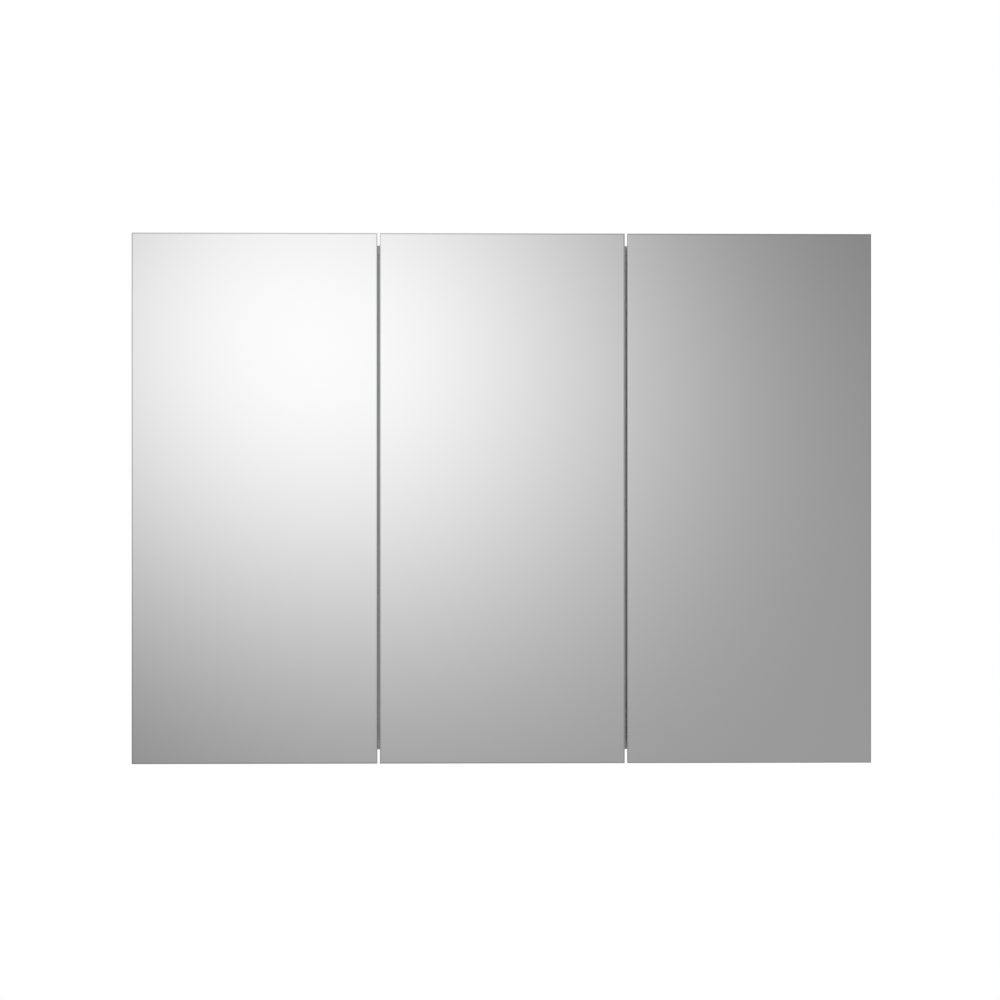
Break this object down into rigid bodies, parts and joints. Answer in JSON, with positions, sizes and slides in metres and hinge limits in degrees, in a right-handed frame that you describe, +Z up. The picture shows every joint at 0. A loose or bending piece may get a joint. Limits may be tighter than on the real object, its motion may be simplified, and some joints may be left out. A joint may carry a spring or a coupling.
{
  "type": "medicine cabinet with mirror",
  "caption": "Wide wall-hung bathroom cabinet with a row of frameless mirror doors on concealed linkage hinges, over an aluminium body with glass shelves.",
  "frame": {"origin": "middle of the wall rail's back face, on the wall", "axes": "+Y into the wall, +X along the cabinet to the right seen from the room, +Z up; the doors face -Y"},
  "size_m": [0.914, 0.132, 0.655],
  "materials": {
    "mirror": "silvered glass with ground and polished edges",
    "door_board": "white lacquered fibreboard",
    "aluminium": "satin anodised sheet",
    "shelf_glass": "clear float glass with ground edges",
    "hinge_steel": "nickel plated pressed steel",
    "rubber": "matt moulded rubber"
  },
  "bodies": {
    "cabinet": {"left_side": "aluminium", "right_side": "aluminium", "top_panel": "aluminium", "bottom_panel": "aluminium", "back_panel": "aluminium", "left_partition": "aluminium", "right_partition": "aluminium", "cabinet_rail": "aluminium", "wall_rail": "aluminium", "left_bumper": "rubber", "right_bumper": "rubber", "left_upper_shelf": "shelf_glass", "left_lower_shelf": "shelf_glass", "middle_upper_shelf": "shelf_glass", "middle_lower_shelf": "shelf_glass", "right_upper_shelf": "shelf_glass", "right_lower_shelf": "shelf_glass", "left_door_upper_plate": "hinge_steel", "left_door_upper_arm": "hinge_steel", "left_door_lower_plate": "hinge_steel", "left_door_lower_arm": "hinge_steel", "middle_door_upper_plate": "hinge_steel", "middle_door_upper_arm": "hinge_steel", "middle_door_lower_plate": "hinge_steel", "middle_door_lower_arm": "hinge_steel", "right_door_upper_plate": "hinge_steel", "right_door_upper_arm": "hinge_steel", "right_door_lower_plate": "hinge_steel", "right_door_lower_arm": "hinge_steel"},
    "left_outer_links": {"left_door_upper_outer_link": "hinge_steel", "left_door_lower_outer_link": "hinge_steel"},
    "left_door": {"left_door_mirror": "mirror", "left_door_core": "door_board", "left_door_inner_mirror": "mirror", "left_door_upper_cup": "hinge_steel", "left_door_lower_cup": "hinge_steel"},
    "left_inner_links": {"left_door_upper_inner_link": "hinge_steel", "left_door_lower_inner_link": "hinge_steel"},
    "middle_outer_links": {"middle_door_upper_outer_link": "hinge_steel", "middle_door_lower_outer_link": "hinge_steel"},
    "middle_door": {"middle_door_mirror": "mirror", "middle_door_core": "door_board", "middle_door_inner_mirror": "mirror", "middle_door_upper_cup": "hinge_steel", "middle_door_lower_cup": "hinge_steel"},
    "middle_inner_links": {"middle_door_upper_inner_link": "hinge_steel", "middle_door_lower_inner_link": "hinge_steel"},
    "right_outer_links": {"right_door_upper_outer_link": "hinge_steel", "right_door_lower_outer_link": "hinge_steel"},
    "right_door": {"right_door_mirror": "mirror", "right_door_core": "door_board", "right_door_inner_mirror": "mirror", "right_door_upper_cup": "hinge_steel", "right_door_lower_cup": "hinge_steel"},
    "right_inner_links": {"right_door_upper_inner_link": "hinge_steel", "right_door_lower_inner_link": "hinge_steel"}
  },
  "joints": [
    {"name": "left_outer_link_swing", "type": "hinge", "parent": "cabinet", "child": "left_outer_links", "pos_m": [-0.427, -0.1015, -0.2359], "axis": [0, 0, -1], "range_deg": [-46.3, 0]},
    {"name": "left_door_swing", "type": "hinge", "parent": "left_outer_links", "child": "left_door", "pos_m": [-0.4476, -0.1177, -0.2359], "axis": [0, 0, -1], "range_deg": [0, 156.2]},
    {"name": "left_inner_link_swing", "type": "hinge", "parent": "left_door", "child": "left_inner_links", "pos_m": [-0.44295, -0.11955, -0.2359], "axis": [0, 0, -1], "range_deg": [-147.8, 0]},
    {"name": "middle_outer_link_swing", "type": "hinge", "parent": "cabinet", "child": "middle_outer_links", "pos_m": [-0.12127, -0.1015, -0.2359], "axis": [0, 0, -1], "range_deg": [-46.3, 0]},
    {"name": "middle_door_swing", "type": "hinge", "parent": "middle_outer_links", "child": "middle_door", "pos_m": [-0.14187, -0.1177, -0.2359], "axis": [0, 0, -1], "range_deg": [0, 156.2]},
    {"name": "middle_inner_link_swing", "type": "hinge", "parent": "middle_door", "child": "middle_inner_links", "pos_m": [-0.13722, -0.11955, -0.2359], "axis": [0, 0, -1], "range_deg": [-147.8, 0]},
    {"name": "right_outer_link_swing", "type": "hinge", "parent": "cabinet", "child": "right_outer_links", "pos_m": [0.427, -0.1015, -0.2359], "axis": [0, 0, 1], "range_deg": [-46.3, 0]},
    {"name": "right_door_swing", "type": "hinge", "parent": "right_outer_links", "child": "right_door", "pos_m": [0.4476, -0.1177, -0.2359], "axis": [0, 0, 1], "range_deg": [0, 156.2]},
    {"name": "right_inner_link_swing", "type": "hinge", "parent": "right_door", "child": "right_inner_links", "pos_m": [0.44295, -0.11955, -0.2359], "axis": [0, 0, 1], "range_deg": [-147.8, 0]}
  ],
  "couplings": [
    {"joint": "left_outer_link_swing", "follows": "left_door_swing", "ratio": -0.29578},
    {"joint": "left_inner_link_swing", "follows": "left_door_swing", "ratio": -0.94578},
    {"joint": "middle_outer_link_swing", "follows": "middle_door_swing", "ratio": -0.29578},
    {"joint": "middle_inner_link_swing", "follows": "middle_door_swing", "ratio": -0.94578},
    {"joint": "right_outer_link_swing", "follows": "right_door_swing", "ratio": -0.29578},
    {"joint": "right_inner_link_swing", "follows": "right_door_swing", "ratio": -0.94578}
  ]
}
